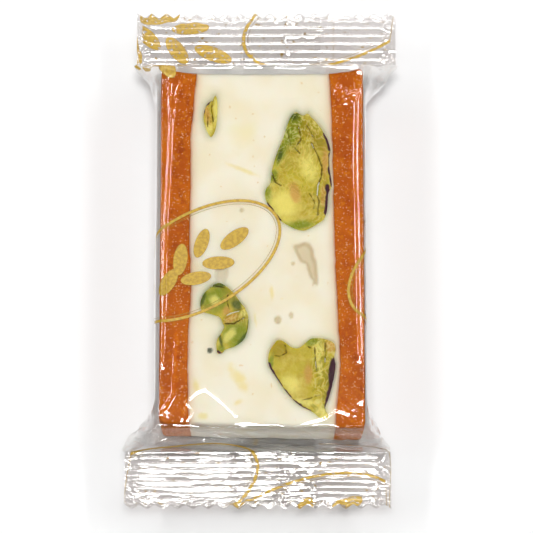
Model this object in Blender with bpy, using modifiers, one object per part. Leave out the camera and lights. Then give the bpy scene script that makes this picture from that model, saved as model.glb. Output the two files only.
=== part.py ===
"""A wrapped nougat bar, lying on its back.

A slab of white nougat lies between two strips of fruit paste, with pistachio kernels cut through
at its surface. A tube of clear film is drawn tight round the slab, and its two ends are flattened,
ridged by the sealing jaws and cut off in a zigzag.

X runs across the bar, Y along it and Z up through its thickness. The origin is on the surface that
the bar lies on, under the middle of the whole pack.
"""

import math

import bmesh
import bpy
from mathutils import Vector

MM = 0.001

# The food: width and height of the slab, its two ends, and where it lies in the pack: its centre line
# and the place along it that the kernels and seams are measured from.
BAR_WIDTH = 29.2 * MM
BAR_HEIGHT = 13.0 * MM
BAR_TOP_END = 26.85 * MM
BAR_BOTTOM_END = -25.65 * MM
BAR_CENTRE_X = -0.4 * MM
BAR_ZERO_Y = -0.65 * MM
EDGE_ROUNDING = 0.35 * MM
TOP_END_SAG = 0.7 * MM
BOTTOM_END_SKEW = 0.35 * MM

# The film, and the clearance that keeps every pair of solids apart.
FILM = 0.2 * MM
CLEARANCE = 0.3 * MM
PACK_HALF_LENGTH = 36.8 * MM
SEAL_HALF_WIDTH = 19.15 * MM
SEAL_HALF_HEIGHT = 0.35 * MM
SEAL_SHIFT_X = 0.2 * MM
TOP_SEAL_START = 29.4 * MM
BOTTOM_SEAL_START = -28.25 * MM
RIDGE_PITCH = 1.0 * MM
RIDGE_HEIGHT = 0.18 * MM
TOOTH_PITCH = 2.18 * MM
TOOTH_DEPTH = 0.7 * MM
SPARE_TEETH = 3

FOOD_FLOOR = FILM + CLEARANCE
FOOD_TOP = FOOD_FLOOR + BAR_HEIGHT
PACK_HALF_WIDTH = BAR_WIDTH / 2 + CLEARANCE + FILM
PACK_HALF_HEIGHT = BAR_HEIGHT / 2 + CLEARANCE + FILM
EAR_LENGTH = 5.0 * MM
CORNER_ROUNDING = 0.8 * MM
# A side of the film's section, from its face to its outermost point, as shares of the side's width
# and of the section's half height: a box corner, a straight fold, and the hem of the flat seal.
BOX_SIDE = [(0.71, 0.967), (1.0, 0.886), (1.0, 0.0)]
FOLD_SIDE = [(0.12, 0.88), (0.4, 0.6), (1.0, 0.0)]
HEM_SIDE = [(0.5, 1.0), (0.82, 0.8), (1.0, 0.0)]

# Where the nougat meets the fruit paste, as (y, x) on the bar: knots of a smooth line.
LEFT_SEAM = [
    (27.6, -9.5), (22, -9.9), (17, -10.3), (2, -10.4),
    (-6, -10.1), (-14, -10.5), (-22, -10.6), (-26, -10.2),
]
RIGHT_SEAM = [
    (27.6, 9.7), (22, 10.05), (14, 10.25), (2, 10.4),
    (-6, 10.7), (-15, 11.1), (-21, 10.8), (-26, 10.5),
]
SEAM_STEPS = 12

# The kernels: centre on the bar's face, outline points from that centre in order round it, depth.
KERNELS = {
    "pistachio_large": {
        "centre": (5.05, 12.4),
        "outline": [
            (4.4, 0), (4.4, 3.3), (3.4, 6.3), (1.4, 8.4), (0.1, 8.1), (-1.2, 8.6), (-2.2, 6.4),
            (-3.4, 2.0), (-4.4, -1.6), (-4.9, -3.8), (-3.6, -6.2), (-1.7, -8.3), (1.2, -8.9),
            (3.5, -7.2), (4.4, -3.6),
        ],
        "depth": 5.2,
    },
    "pistachio_sliver": {
        "centre": (-7.6, 20.2),
        "outline": [
            (1.2, 0.6), (0.9, 3.2), (0.1, 2.7), (-1.0, 1.2), (-1.2, -0.3), (-0.7, -2.2), (0, -3.3),
            (0.8, -2.3),
        ],
        "depth": 2.2,
    },
    "pistachio_upper_half": {
        "centre": (-5.9, -7.0),
        "outline": [
            (2.9, -0.2), (1.9, 1.3), (0.6, 2.2), (-1.1, 2.6), (-2.3, 1.5), (-3.0, -0.1),
            (-2.5, -1.7), (-0.8, -2.1), (1.3, -1.9),
        ],
        "depth": 3.2,
    },
    "pistachio_lower_half": {
        "centre": (-4.0, -11.2),
        "outline": [
            (2.3, 0.3), (2.1, 1.7), (0.6, 1.8), (-0.7, 1.2), (-1.6, -0.1), (-2.3, -1.6),
            (-2.0, -2.9), (-0.4, -2.4), (1.2, -1.6),
        ],
        "depth": 3.2,
    },
    "pistachio_heart": {
        "centre": (5.5, -17.6),
        "outline": [
            (4.5, 0), (4.7, 2.6), (3.7, 5.0), (1.8, 5.3), (0.1, 4.4), (-1.4, 4.1), (-3.1, 5.0),
            (-4.5, 3.9), (-5.0, 1.6), (-4.0, -0.9), (-2.2, -3.1), (0.2, -4.9), (2.6, -5.2),
            (3.8, -3.2),
        ],
        "depth": 4.6,
    },
}
# The kernel at the bottom end: its end is cut off just inside the slab's end face, and its top just
# under the slab's face. Its middle lies most of a radius below that upper cut.
END_KERNEL_CENTRE = (-3.0, -24.6)
END_KERNEL_RADII = (3.3, 1.9, 2.6)
END_KERNEL_SUNK = 0.7
END_KERNEL_CUT = 0.35 * MM
END_KERNEL_INSET = 0.1 * MM

# An air pocket that the knife opened: centre, outline points round it and depth, as for a kernel.
AIR_POCKET = {
    "centre": (6.0, -1.7),
    "outline": [
        (0.9, 0), (1.1, 1.7), (0.4, 2.7), (-1.0, 3.0), (-1.5, 1.9), (-0.7, -0.3), (-0.1, -1.9),
        (1.1, -3.3), (1.4, -1.6),
    ],
    "depth": 0.9,
}

KERNEL_SEGMENTS = 18
KERNEL_RINGS = 8
# How far the round shapes reach above the slab's face before that face cuts them, and how far the
# cutters reach past what they cut.
LUMP_RISE = 1.0 * MM
CUTTER_REACH = 2.0 * MM
# A kernel's sides drop steeply from its outline before they turn under.
LUMP_FULLNESS = 0.8

COLOURS = {
    "nougat": ((0.84, 0.79, 0.68, 1.0), 0.5),
    "fruit_paste": ((0.52, 0.13, 0.01, 1.0), 0.35),
    "pistachio": ((0.48, 0.44, 0.08, 1.0), 0.5),
    "clear_film": ((0.9, 0.9, 0.9, 0.3), 0.12),
}


def clear_scene():
    for obj in list(bpy.data.objects):
        bpy.data.objects.remove(obj, do_unlink=True)


def new_collection(name):
    collection = bpy.data.collections.new(name)
    bpy.context.scene.collection.children.link(collection)
    return collection


def material(name):
    colour, roughness = COLOURS[name]
    made = bpy.data.materials.get(name) or bpy.data.materials.new(name)
    made.use_nodes = True
    shader = made.node_tree.nodes["Principled BSDF"]
    shader.inputs["Base Color"].default_value = colour[:3] + (1.0,)
    shader.inputs["Roughness"].default_value = roughness
    shader.inputs["Alpha"].default_value = colour[3]
    return made


def mesh_object(name, bm, collection, finish=None):
    mesh = bpy.data.meshes.new(name)
    bm.to_mesh(mesh)
    bm.free()
    obj = bpy.data.objects.new(name, mesh)
    collection.objects.link(obj)
    if finish:
        mesh.materials.append(material(finish))
    return obj


def as_helper(obj):
    obj.hide_render = True
    obj.display_type = "WIRE"
    return obj


def cut(obj, cutter):
    boolean = obj.modifiers.new("cut_" + cutter.name, "BOOLEAN")
    boolean.operation = "DIFFERENCE"
    boolean.object = cutter
    boolean.solver = "EXACT"


def prism(name, outline, low, high, collection, finish=None):
    """A flat outline of (x, y) points, filled and raised from height low to height high."""
    curve = bpy.data.curves.new(name + "_outline", "CURVE")
    curve.dimensions = "2D"
    curve.fill_mode = "BOTH"
    curve.extrude = (high - low) / 2
    spline = curve.splines.new("POLY")
    spline.points.add(len(outline) - 1)
    for point, (x, y) in zip(spline.points, outline):
        point.co = (x, y, 0, 1)
    spline.use_cyclic_u = True
    guide = bpy.data.objects.new(name + "_outline", curve)
    collection.objects.link(guide)
    guide.location.z = (low + high) / 2
    bpy.context.view_layer.update()
    evaluated = guide.evaluated_get(bpy.context.evaluated_depsgraph_get())
    raised = bpy.data.meshes.new_from_object(evaluated)
    bm = bmesh.new()
    bm.from_mesh(raised)
    bmesh.ops.transform(bm, matrix=guide.matrix_world, verts=bm.verts)
    bmesh.ops.remove_doubles(bm, verts=bm.verts, dist=0.01 * MM)
    bmesh.ops.recalc_face_normals(bm, faces=bm.faces)
    bpy.data.objects.remove(guide, do_unlink=True)
    bpy.data.meshes.remove(raised)
    return mesh_object(name, bm, collection, finish)


def round_edges(obj, width):
    bevel = obj.modifiers.new("rounded_edges", "BEVEL")
    bevel.width = width
    bevel.segments = 2
    bevel.limit_method = "ANGLE"
    bevel.angle_limit = math.radians(50)


def smooth_between(knots, t):
    """The value at t on a smooth line through (t, value) knots that run from high t to low t."""
    for (t0, v0), (t1, v1) in zip(knots, knots[1:]):
        if t >= t1:
            share = max(0.0, (t0 - t) / (t0 - t1))
            return v0 + (v1 - v0) * (3 - 2 * share) * share * share
    return knots[-1][1]


def seam_x(knots, y):
    return BAR_CENTRE_X + smooth_between(knots, (y - BAR_ZERO_Y) / MM) * MM


def top_end_y(x):
    """The slab's far end sags a little between its two corners."""
    across = (x - BAR_CENTRE_X) / (BAR_WIDTH / 2)
    return BAR_TOP_END - TOP_END_SAG * (1 - across**4)


def bottom_end_y(x):
    """The near end is cut slightly askew."""
    across = (x - BAR_CENTRE_X) / (BAR_WIDTH / 2)
    return BAR_BOTTOM_END - BOTTOM_END_SKEW * across


def strip_outline(left_x, right_x):
    """The outline of a lengthwise strip of the slab, between two sides that are functions of y."""
    left, right = [], []
    for step in range(SEAM_STEPS + 1):
        share = step / SEAM_STEPS
        for side, side_x in ((left, left_x), (right, right_x)):
            low = bottom_end_y(side_x(BAR_BOTTOM_END))
            high = top_end_y(side_x(BAR_TOP_END))
            y = low + (high - low) * share
            side.append((side_x(y), y))
    low_middle = (left[0][0] + right[0][0]) / 2
    high_middle = (left[-1][0] + right[-1][0]) / 2
    return (
        left[::-1]
        + [(low_middle, bottom_end_y(low_middle))]
        + right
        + [(high_middle, top_end_y(high_middle))]
    )


def make_slab(collection):
    """The nougat and the two strips of fruit paste beside it, each the whole height of the slab."""
    outer = BAR_WIDTH / 2
    half_gap = CLEARANCE / 2
    sides = {
        "fruit_paste_left": (
            lambda y: BAR_CENTRE_X - outer,
            lambda y: seam_x(LEFT_SEAM, y) - half_gap,
        ),
        "nougat": (
            lambda y: seam_x(LEFT_SEAM, y) + half_gap,
            lambda y: seam_x(RIGHT_SEAM, y) - half_gap,
        ),
        "fruit_paste_right": (
            lambda y: seam_x(RIGHT_SEAM, y) + half_gap,
            lambda y: BAR_CENTRE_X + outer,
        ),
    }
    made = {}
    for name, (left_x, right_x) in sides.items():
        finish = "nougat" if name == "nougat" else "fruit_paste"
        outline = strip_outline(left_x, right_x)
        made[name] = prism(name, outline, FOOD_FLOOR, FOOD_TOP, collection, finish)
        round_edges(made[name], EDGE_ROUNDING)
    return made


def outline_radius(outline, angle):
    """The outline's distance from its centre at an angle, smooth between its points."""
    polar = sorted((math.atan2(y, x) % math.tau, math.hypot(x, y)) for x, y in outline)
    count = len(polar)
    index = next((i for i, (turn, _) in enumerate(polar) if turn > angle), 0)
    before, after = polar[index - 1], polar[index]
    span = (after[0] - before[0]) % math.tau or math.tau
    share = ((angle - before[0]) % math.tau) / span
    earlier, later = polar[(index - 2) % count][1], polar[(index + 1) % count][1]
    pull_in = (after[1] - earlier) / 2
    pull_out = (later - before[1]) / 2
    return (
        (2 * share**3 - 3 * share**2 + 1) * before[1]
        + (share**3 - 2 * share**2 + share) * pull_in
        + (3 * share**2 - 2 * share**3) * after[1]
        + (share**3 - share**2) * pull_out
    )


def lump(outline, centre, depth, grow, rise):
    """A ball pulled out to an outline on the slab's face, reaching depth below it and rise above it."""
    bm = bmesh.new()
    bmesh.ops.create_uvsphere(bm, u_segments=KERNEL_SEGMENTS, v_segments=KERNEL_RINGS, radius=1)
    for vert in bm.verts:
        out = math.hypot(vert.co.x, vert.co.y)
        turn = math.atan2(vert.co.y, vert.co.x) % math.tau
        reach = (outline_radius(outline, turn) * MM + grow) * out**LUMP_FULLNESS
        height = (depth * MM + grow if vert.co.z < 0 else rise) * vert.co.z
        vert.co = Vector(
            (
                BAR_CENTRE_X + centre[0] * MM + reach * math.cos(turn),
                BAR_ZERO_Y + centre[1] * MM + reach * math.sin(turn),
                FOOD_TOP + height,
            )
        )
    return bm


def cut_flat(bm, point, normal):
    """Removes what lies beyond a plane and closes the cut."""
    geometry = bm.verts[:] + bm.edges[:] + bm.faces[:]
    bmesh.ops.bisect_plane(
        bm, geom=geometry, dist=1e-7, plane_co=point, plane_no=normal, clear_outer=True
    )
    bmesh.ops.holes_fill(bm, edges=[edge for edge in bm.edges if edge.is_boundary])
    bmesh.ops.recalc_face_normals(bm, faces=bm.faces)


def make_kernels(nougat, collection, helpers):
    """Kernels cut flush with the slab's face, each in a pocket of the nougat."""
    for name, kernel in KERNELS.items():
        shape = (kernel["outline"], kernel["centre"], kernel["depth"])
        body = lump(*shape, grow=0, rise=LUMP_RISE)
        cut_flat(body, (0, 0, FOOD_TOP), (0, 0, 1))
        mesh_object(name, body, collection, "pistachio")
        wider = lump(*shape, grow=CLEARANCE, rise=CUTTER_REACH)
        pocket = mesh_object(name + "_pocket", wider, helpers)
        cut(nougat, as_helper(pocket))


def end_kernel_ball(grow):
    bm = bmesh.new()
    bmesh.ops.create_uvsphere(bm, u_segments=KERNEL_SEGMENTS, v_segments=KERNEL_RINGS, radius=1)
    for vert in bm.verts:
        for axis in range(3):
            vert.co[axis] *= END_KERNEL_RADII[axis] * MM + grow
        vert.co += Vector(
            (
                BAR_CENTRE_X + END_KERNEL_CENTRE[0] * MM,
                BAR_ZERO_Y + END_KERNEL_CENTRE[1] * MM,
                FOOD_TOP - END_KERNEL_CUT - END_KERNEL_RADII[2] * END_KERNEL_SUNK * MM,
            )
        )
    return bm


def make_end_kernel(nougat, collection, helpers):
    """The kernel that the bottom end face cuts through, near the slab's upper edge."""
    body = end_kernel_ball(grow=0)
    end_y = bottom_end_y(BAR_CENTRE_X + END_KERNEL_CENTRE[0] * MM)
    cut_flat(body, (0, 0, FOOD_TOP - END_KERNEL_CUT), (0, 0, 1))
    cut_flat(body, (0, end_y + END_KERNEL_INSET, 0), (0, -1, 0))
    mesh_object("pistachio_end", body, collection, "pistachio")
    cut(nougat, as_helper(mesh_object("pistachio_end_pocket", end_kernel_ball(grow=CLEARANCE), helpers)))


def open_air_pocket(nougat, helpers):
    shape = (AIR_POCKET["outline"], AIR_POCKET["centre"], AIR_POCKET["depth"])
    hollow = mesh_object("air_pocket", lump(*shape, grow=0, rise=LUMP_RISE), helpers)
    cut(nougat, as_helper(hollow))


def ease(low, high, value):
    share = min(1.0, max(0.0, (value - low) / (high - low)))
    return share * share * (3 - 2 * share)


def film_section(y):
    """The film's outer section at y, as (x, z) points in order round it.

    Over the slab it is a box with rounded corners. Past the slab's ends its faces come together,
    and the spare width of its sides goes out into two ears, until it lies flat as the seal.
    """
    end, seal = (BAR_TOP_END, TOP_SEAL_START) if y > 0 else (-BAR_BOTTOM_END, -BOTTOM_SEAL_START)
    out = abs(y)
    ear = ease(end - EAR_LENGTH, seal, out)
    flat = min(1.0, max(0.0, (out - end - 2 * CLEARANCE) / (seal - end - 2 * CLEARANCE)))
    shift = BAR_CENTRE_X * (1 - ear) + math.copysign(SEAL_SHIFT_X, y) * ear
    half_height = PACK_HALF_HEIGHT + (SEAL_HALF_HEIGHT - PACK_HALF_HEIGHT) * flat
    apex = PACK_HALF_WIDTH + (SEAL_HALF_WIDTH - PACK_HALF_WIDTH) * ear
    corner = PACK_HALF_WIDTH - CORNER_ROUNDING
    panel = corner + (SEAL_HALF_WIDTH - CORNER_ROUNDING - corner) * flat
    side = []
    for box, fold, hem in zip(BOX_SIDE, FOLD_SIDE, HEM_SIDE):
        folded = [b + (f - b) * ear for b, f in zip(box, fold)]
        bulge, rise = (f + (h - f) * flat**3 for f, h in zip(folded, hem))
        side.append((panel + (apex - panel) * bulge, half_height * rise))
    quarter = [(panel * step / 3, half_height) for step in range(4)] + side
    right = quarter + [(x, -z) for x, z in quarter[-2::-1]]
    ring = right + [(-x, z) for x, z in right[-2:0:-1]]
    ridge = 0.0
    if out > seal:
        ridge = RIDGE_HEIGHT * (1 if round((out - seal) / (RIDGE_PITCH / 2)) % 2 else -1)
    return [(x + shift, z + PACK_HALF_HEIGHT + ridge) for x, z in ring]


def end_stations(end, seal):
    """Distances along Y at which the film has a section, from the ears to past the zigzag cut."""
    ear_start = end - EAR_LENGTH
    slope_start = end + 2 * CLEARANCE
    ears = [ear_start + (slope_start - ear_start) * step / 4 for step in range(5)]
    slope = [slope_start + (seal - slope_start) * step / 3 for step in (1, 2, 3)]
    ridges = math.ceil((PACK_HALF_LENGTH + TOOTH_DEPTH - seal) / (RIDGE_PITCH / 2))
    return ears + slope + [seal + RIDGE_PITCH / 2 * step for step in range(1, ridges + 1)]


def zigzag(name, y_sign, helpers):
    """A cutter whose inner side is the zigzag that the knife leaves, a few teeth past the film."""
    teeth = math.ceil(2 * SEAL_HALF_WIDTH / TOOTH_PITCH) + SPARE_TEETH
    start = math.copysign(SEAL_SHIFT_X, y_sign) - teeth / 2 * TOOTH_PITCH
    tip = PACK_HALF_LENGTH
    edge = []
    for tooth in range(teeth + 1):
        x = start + tooth * TOOTH_PITCH
        edge += [(x, y_sign * (tip - TOOTH_DEPTH)), (x + TOOTH_PITCH / 2, y_sign * tip)]
    far = y_sign * (tip + CUTTER_REACH)
    outline = edge + [(edge[-1][0], far), (edge[0][0], far)]
    top = 2 * PACK_HALF_HEIGHT + CUTTER_REACH
    return as_helper(prism(name, outline, -CUTTER_REACH, top, helpers))


def make_wrapper(collection, helpers):
    """The tube of film: a loft through its sections, given a wall and cut in a zigzag at both ends."""
    stations = [-y for y in reversed(end_stations(-BAR_BOTTOM_END, -BOTTOM_SEAL_START))]
    stations += end_stations(BAR_TOP_END, TOP_SEAL_START)
    bm = bmesh.new()
    rings = [[bm.verts.new((x, y, z)) for x, z in film_section(y)] for y in stations]
    for near, far in zip(rings, rings[1:]):
        for index in range(len(near)):
            after = (index + 1) % len(near)
            bm.faces.new((near[index], near[after], far[after], far[index]))
    wrapper = mesh_object("wrapper", bm, collection, "clear_film")
    wall = wrapper.modifiers.new("film", "SOLIDIFY")
    wall.thickness = FILM
    wall.offset = -1
    for name, y_sign in (("zigzag_top", 1), ("zigzag_bottom", -1)):
        cut(wrapper, zigzag(name, y_sign, helpers))


def main():
    clear_scene()
    parts = new_collection("nougat_bar")
    helpers = new_collection("cutters")
    slab = make_slab(parts)
    make_kernels(slab["nougat"], parts, helpers)
    make_end_kernel(slab["nougat"], parts, helpers)
    open_air_pocket(slab["nougat"], helpers)
    make_wrapper(parts, helpers)


main()
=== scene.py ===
"""The looks of a nougat bar in clear film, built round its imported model.

The slab of nougat and fruit paste, the cut pistachio kernels and the film are each modelled here in
their fine shape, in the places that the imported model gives. The shaping functions work in millimetres
on the slab's own axes: X from its middle, Y from 25 mm above its lower end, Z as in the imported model.
"""

import math

import bpy
import numpy as np
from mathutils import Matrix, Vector


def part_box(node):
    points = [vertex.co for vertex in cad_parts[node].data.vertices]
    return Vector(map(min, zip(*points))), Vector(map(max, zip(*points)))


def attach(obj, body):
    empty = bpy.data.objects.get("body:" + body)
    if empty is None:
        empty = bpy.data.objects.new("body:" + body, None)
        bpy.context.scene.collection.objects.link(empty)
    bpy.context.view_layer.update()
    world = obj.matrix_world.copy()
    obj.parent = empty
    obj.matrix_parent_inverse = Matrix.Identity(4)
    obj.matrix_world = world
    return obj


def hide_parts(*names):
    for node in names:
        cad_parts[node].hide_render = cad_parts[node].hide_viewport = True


MM = 0.001

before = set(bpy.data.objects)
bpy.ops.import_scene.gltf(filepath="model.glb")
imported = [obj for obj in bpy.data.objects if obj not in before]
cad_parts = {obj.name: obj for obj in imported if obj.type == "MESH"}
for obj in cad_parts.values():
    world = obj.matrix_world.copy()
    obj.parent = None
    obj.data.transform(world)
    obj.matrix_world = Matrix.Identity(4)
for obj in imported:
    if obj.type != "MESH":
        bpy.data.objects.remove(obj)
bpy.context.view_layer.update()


def raw_corners(node):
    """A node's lowest and highest corners in millimetres."""
    low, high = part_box(node)
    return np.array(low) / MM, np.array(high) / MM


LOWER_PART = 25.0
SLAB_LEFT = raw_corners("fruit_paste_left")
SLAB_RIGHT = raw_corners("fruit_paste_right")
ORIGIN = np.array(
    [
        (SLAB_LEFT[0][0] + SLAB_RIGHT[1][0]) / 2,
        min(SLAB_LEFT[0][1], SLAB_RIGHT[0][1]) + LOWER_PART,
        0.0,
    ]
)


def corners(node):
    """A node's lowest and highest corners on the slab's own axes."""
    low, high = raw_corners(node)
    return low - ORIGIN, high - ORIGIN


HALF_WIDTH = (SLAB_RIGHT[1][0] - SLAB_LEFT[0][0]) / 2
FACE = corners("nougat")[1][2]
BASE = corners("nougat")[0][2]
TOP_END = max(corners("fruit_paste_left")[1][1], corners("fruit_paste_right")[1][1])
BOTTOM_END = -LOWER_PART
PACK_LOW, PACK_HIGH = corners("wrapper")
MIDDLE = (PACK_LOW[2] + PACK_HIGH[2]) / 2


# ---------------------------------------------------------------- shaping functions


def smooth(low, high, value):
    share = np.clip((value - low) / (high - low), 0.0, 1.0)
    return share * share * (3 - 2 * share)


def bell(distance, width):
    """1 at no distance, falling softly to nothing past the width."""
    return np.exp(-((distance / width) ** 2))


def noise(x, y, scale, seed):
    """Smooth random numbers from -1 to 1 with features about as long as the scale."""
    size = 97
    lattice = np.random.default_rng(seed).uniform(-1, 1, (size, size))
    gx, gy = np.asarray(x) / scale + 1000.5, np.asarray(y) / scale + 1000.5
    ix, iy = np.floor(gx).astype(int), np.floor(gy).astype(int)
    fx, fy = gx - ix, gy - iy
    fx, fy = fx * fx * (3 - 2 * fx), fy * fy * (3 - 2 * fy)
    near = lattice[ix % size, iy % size] * (1 - fx) + lattice[(ix + 1) % size, iy % size] * fx
    far = lattice[ix % size, (iy + 1) % size] * (1 - fx)
    far = far + lattice[(ix + 1) % size, (iy + 1) % size] * fx
    return near * (1 - fy) + far * fy


def layered(x, y, scale, seed, layers=3):
    total = sum(noise(x, y, scale / 2**n, seed + n) / 2**n for n in range(layers))
    return total / (2 - 0.5 ** (layers - 1))


def facets(x, y, scale, seed):
    """Flat three-cornered facets at random tilts, as in crumpled film, from -1 to 1."""
    size = 97
    lattice = np.random.default_rng(seed).uniform(-1, 1, (size, size))
    gx = (x + 0.35 * y) / scale + 500.5 + 0.3 * noise(x, y, scale * 1.7, seed + 1)
    gy = (y - 0.25 * x) / scale + 500.5 + 0.3 * noise(y, x, scale * 1.9, seed + 2)
    ix, iy = np.floor(gx).astype(int), np.floor(gy).astype(int)
    fx, fy = gx - ix, gy - iy
    a, b = lattice[ix % size, iy % size], lattice[(ix + 1) % size, iy % size]
    c, d = lattice[ix % size, (iy + 1) % size], lattice[(ix + 1) % size, (iy + 1) % size]
    lower = a + (b - a) * fx + (c - a) * fy
    upper = d + (c - d) * (1 - fx) + (b - d) * (1 - fy)
    return np.where(fx + fy < 1, lower, upper)


def ridged(x, y, scale, seed):
    """Noise with sharp crests, from 0 in the valleys to 1 on the crests."""
    return 1 - np.abs(layered(x, y, scale, seed, 2)) * 2


def smooth_loop(points, steps=8):
    """A closed smooth line through the points."""
    p = np.array(points, float)
    before, after, beyond = np.roll(p, 1, 0), np.roll(p, -1, 0), np.roll(p, -2, 0)
    t = (np.arange(steps) / steps)[None, :, None]
    a, b, c, d = before[:, None], p[:, None], after[:, None], beyond[:, None]
    line = 2 * b + (c - a) * t + (2 * a - 5 * b + 4 * c - d) * t**2 + (3 * b - a - 3 * c + d) * t**3
    line = 0.5 * line
    return line.reshape(-1, 2)


def line_distance(x, y, points, closed=False):
    """How far each place is from a line through the points."""
    p = np.array(points, float)
    starts, ends = (p, np.roll(p, -1, 0)) if closed else (p[:-1], p[1:])
    best = np.full(np.shape(x), 1e9)
    for (ax, ay), (bx, by) in zip(starts, ends):
        dx, dy = bx - ax, by - ay
        share = np.clip(((x - ax) * dx + (y - ay) * dy) / (dx * dx + dy * dy + 1e-12), 0, 1)
        best = np.minimum(best, np.hypot(x - ax - share * dx, y - ay - share * dy))
    return best


def loop_distance(x, y, loop):
    """The distance from a closed line, counted below zero inside it."""
    inside = np.zeros(np.shape(x), bool)
    for (ax, ay), (bx, by) in zip(loop, np.roll(loop, -1, 0)):
        crosses = (ay > y) != (by > y)
        inside ^= crosses & (x < (bx - ax) * (y - ay) / (by - ay + 1e-12) + ax)
    return np.where(inside, -1, 1) * line_distance(x, y, loop, closed=True)


# ---------------------------------------------------------------- making pieces


def deselect():
    if bpy.context.object and bpy.context.object.mode != "OBJECT":
        bpy.ops.object.mode_set(mode="OBJECT")
    bpy.ops.object.select_all(action="DESELECT")


def name_piece(name):
    piece = bpy.context.object
    piece.name = name
    piece.data.name = name
    return piece


def points_of(piece):
    flat = np.empty(len(piece.data.vertices) * 3)
    piece.data.vertices.foreach_get("co", flat)
    return flat.reshape(-1, 3)


def place_points(piece, x, y, z):
    """Puts a piece's points at places on the slab's own axes."""
    places = (np.stack([x, y, z], axis=1) + ORIGIN) * MM
    piece.data.vertices.foreach_set("co", places.ravel())
    piece.data.update()
    piece.data.shade_smooth()


def keep_numbers(piece, name, values):
    """Stores one number for each point, which the piece's material reads."""
    layer = piece.data.attributes.new(name, "FLOAT", "POINT")
    layer.data.foreach_set("value", np.asarray(values, np.float32).ravel())


def finish_piece(piece, material, slot, *nodes):
    piece.data.materials.clear()
    piece.data.materials.append(material)
    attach(piece, "root")
    if nodes:
        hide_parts(*nodes)


def new_grid(name, columns, rows):
    """A flat grid, and for each of its points the column and the row that it lies on."""
    deselect()
    bpy.ops.mesh.primitive_grid_add(x_subdivisions=columns, y_subdivisions=rows, size=2)
    piece = name_piece(name)
    places = points_of(piece)
    wide = len(np.unique(np.round(places[:, 0], 5))) - 1
    deep = len(np.unique(np.round(places[:, 1], 5))) - 1
    column = np.round((places[:, 0] + 1) / 2 * wide).astype(int)
    row = np.round((places[:, 1] + 1) / 2 * deep).astype(int)
    return piece, column, row


# ---------------------------------------------------------------- the food's outlines

# Where the nougat meets the fruit paste: (y, x) on a smooth line.
LEFT_SEAM = [(28, -9.4), (25.5, -9.6), (22.5, -9.85), (17, -10.3), (10, -10.3), (2, -10.4)]
LEFT_SEAM += [(-5, -10.1), (-11, -10.5), (-17, -10.6), (-22, -10.5), (-26, -10.1)]
RIGHT_SEAM = [(28, 9.65), (22, 10.05), (15, 10.2), (8, 10.3), (2, 10.4), (-5, 10.65)]
RIGHT_SEAM += [(-11, 10.95), (-16, 11.15), (-20, 10.85), (-23, 10.5), (-26, 10.4)]

# Each kernel: its outline about the middle of its box, its depth, and the size of its mesh.
KERNELS = {
    "pistachio_large": {
        "outline": [
            (5.0, 0.1), (4.9, 1.8), (5.1, 3.1), (4.8, 4.4), (4.3, 5.5), (3.8, 6.4), (3.2, 7.2),
            (2.4, 8.0), (1.7, 8.7), (1.0, 8.4), (0.4, 8.7), (-0.1, 8.9), (-0.9, 8.2), (-1.5, 6.8),
            (-2.0, 5.1), (-2.7, 3.4), (-3.3, 1.7), (-3.7, 0.0), (-3.9, -1.7), (-4.5, -2.6),
            (-4.7, -3.6), (-4.3, -5.0), (-3.4, -6.2), (-2.5, -7.4), (-1.3, -8.2), (-0.1, -8.8),
            (1.1, -9.0), (2.3, -8.5), (3.4, -7.8), (4.0, -7.4), (4.5, -6.3), (4.7, -4.8),
            (4.8, -3.4), (5.3, -2.1),
        ],
        "depth": 5.0,
        "mesh": (320, 130),
    },
    "pistachio_sliver": {
        "outline": [
            (1.15, 0.5), (1.15, 2.0), (0.95, 3.1), (0.5, 3.3), (0.1, 2.6), (-0.7, 1.9),
            (-1.15, 0.6), (-1.2, -0.6), (-0.8, -2.0), (-0.2, -3.1), (0.2, -3.2), (0.7, -2.5),
            (1.0, -1.2),
        ],
        "depth": 2.0,
        "mesh": (120, 60),
    },
    "pistachio_upper_half": {
        "outline": [
            (-3.0, -0.8), (-2.6, 0.6), (-1.6, 1.8), (-0.6, 2.4), (0.2, 2.4), (1.2, 1.8),
            (2.1, 0.9), (3.0, -0.3), (3.8, -1.5), (2.7, -1.9), (1.2, -2.4), (0.4, -3.3),
            (-0.3, -2.8), (-1.4, -2.4), (-2.6, -2.0),
        ],
        "depth": 3.0,
        "mesh": (240, 100),
    },
    "pistachio_lower_half": {
        "outline": [
            (-1.9, 1.8), (-1.1, 2.5), (0.4, 3.1), (1.6, 3.5), (2.2, 2.4), (2.2, 0.7),
            (1.6, -1.1), (0.3, -2.2), (-1.1, -2.7), (-1.6, -3.2), (-2.5, -3.2), (-2.7, -1.8),
            (-2.5, -0.9), (-2.0, -0.1), (-1.6, 0.7), (-1.8, 1.2),
        ],
        "depth": 3.0,
        "mesh": (240, 100),
    },
    "pistachio_heart": {
        "outline": [
            (5.1, -0.2), (5.3, 1.2), (5.1, 2.4), (5.3, 3.6), (4.9, 4.6), (3.9, 5.1), (2.7, 5.3),
            (1.5, 5.2), (0.7, 4.6), (-0.2, 3.9), (-1.1, 4.0), (-1.9, 4.6), (-2.6, 5.0),
            (-3.3, 5.0), (-3.9, 4.3), (-4.5, 3.3), (-4.7, 2.1), (-4.5, 0.9), (-3.8, -0.3),
            (-2.2, -2.6), (-1.1, -3.9), (0.1, -4.9), (1.5, -5.6), (2.7, -6.5), (3.8, -6.7),
            (4.2, -5.9), (3.8, -4.9), (4.3, -3.4), (4.7, -2.0),
        ],
        "depth": 4.4,
        "mesh": (300, 120),
    },
}

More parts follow.
